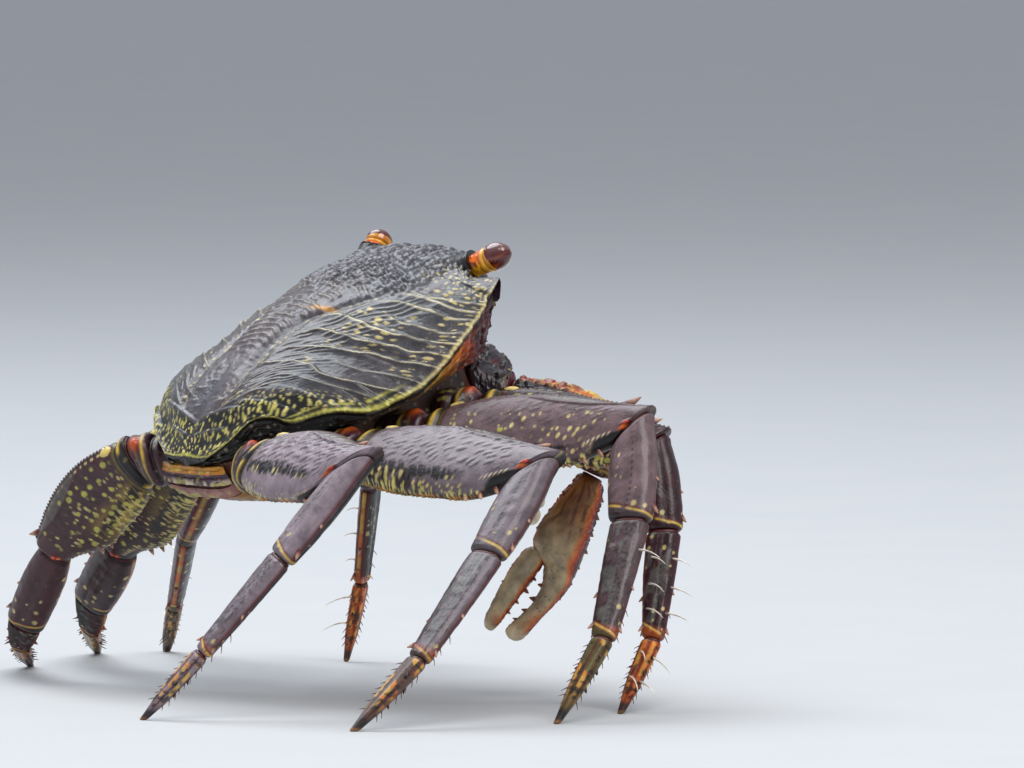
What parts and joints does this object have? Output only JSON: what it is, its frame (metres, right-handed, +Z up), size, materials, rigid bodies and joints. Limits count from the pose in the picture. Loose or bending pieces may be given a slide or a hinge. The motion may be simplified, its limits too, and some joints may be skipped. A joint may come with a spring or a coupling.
{
  "type": "thin-shelled rock crab",
  "caption": "Life-size still model of a thin-shelled rock crab (Grapsus tenuicrustatus), standing with its nose up, claws hanging in front.",
  "frame": {"origin": "middle of the model's box, on the floor under the eight feet", "axes": "+Z up, the crab's head towards -Y, its right side towards -X"},
  "size_m": [0.1974, 0.1108, 0.0839],
  "materials": {
    "shell": "wet dark slate-grey shell with pale yellow lines and dots, satin to gloss",
    "leg": "wet mauve-grey shell with yellow spots, satin",
    "foot": "orange-brown horn with dark red spots, satin",
    "claw": "cream to orange shell with dark red borders, satin",
    "underside": "mustard and purple shell plates, satin",
    "eyestalk": "orange and yellow, wet gloss",
    "eye": "dark red-brown, high gloss"
  },
  "bodies": {
    "root": {"abdomen": "underside", "carapace": "shell", "claw_left_carpus": "claw", "claw_left_coxa": "claw", "claw_left_finger": "claw", "claw_left_merus": "claw", "claw_left_palm": "claw", "claw_right_carpus": "claw", "claw_right_coxa": "claw", "claw_right_finger": "claw", "claw_right_merus": "claw", "claw_right_palm": "claw", "eye_left": "eye", "eye_right": "eye", "eye_stalk_left": "eyestalk", "eye_stalk_right": "eyestalk", "leg2_left_carpus": "leg", "leg2_left_coxa": "leg", "leg2_left_dactylus": "foot", "leg2_left_merus": "leg", "leg2_left_propodus": "leg", "leg2_right_carpus": "leg", "leg2_right_coxa": "leg", "leg2_right_dactylus": "foot", "leg2_right_merus": "leg", "leg2_right_propodus": "leg", "leg3_left_carpus": "leg", "leg3_left_coxa": "leg", "leg3_left_dactylus": "foot", "leg3_left_merus": "leg", "leg3_left_propodus": "leg", "leg3_right_carpus": "leg", "leg3_right_coxa": "leg", "leg3_right_dactylus": "foot", "leg3_right_merus": "leg", "leg3_right_propodus": "leg", "leg4_left_carpus": "leg", "leg4_left_coxa": "leg", "leg4_left_dactylus": "foot", "leg4_left_merus": "leg", "leg4_left_propodus": "leg", "leg4_right_carpus": "leg", "leg4_right_coxa": "leg", "leg4_right_dactylus": "foot", "leg4_right_merus": "leg", "leg4_right_propodus": "leg", "leg5_left_carpus": "leg", "leg5_left_coxa": "leg", "leg5_left_dactylus": "foot", "leg5_left_merus": "leg", "leg5_left_propodus": "leg", "leg5_right_carpus": "leg", "leg5_right_coxa": "leg", "leg5_right_dactylus": "foot", "leg5_right_merus": "leg", "leg5_right_propodus": "leg", "mouthpart_left": "underside", "mouthpart_right": "underside", "thorax": "underside"}
  },
  "joints": []
}
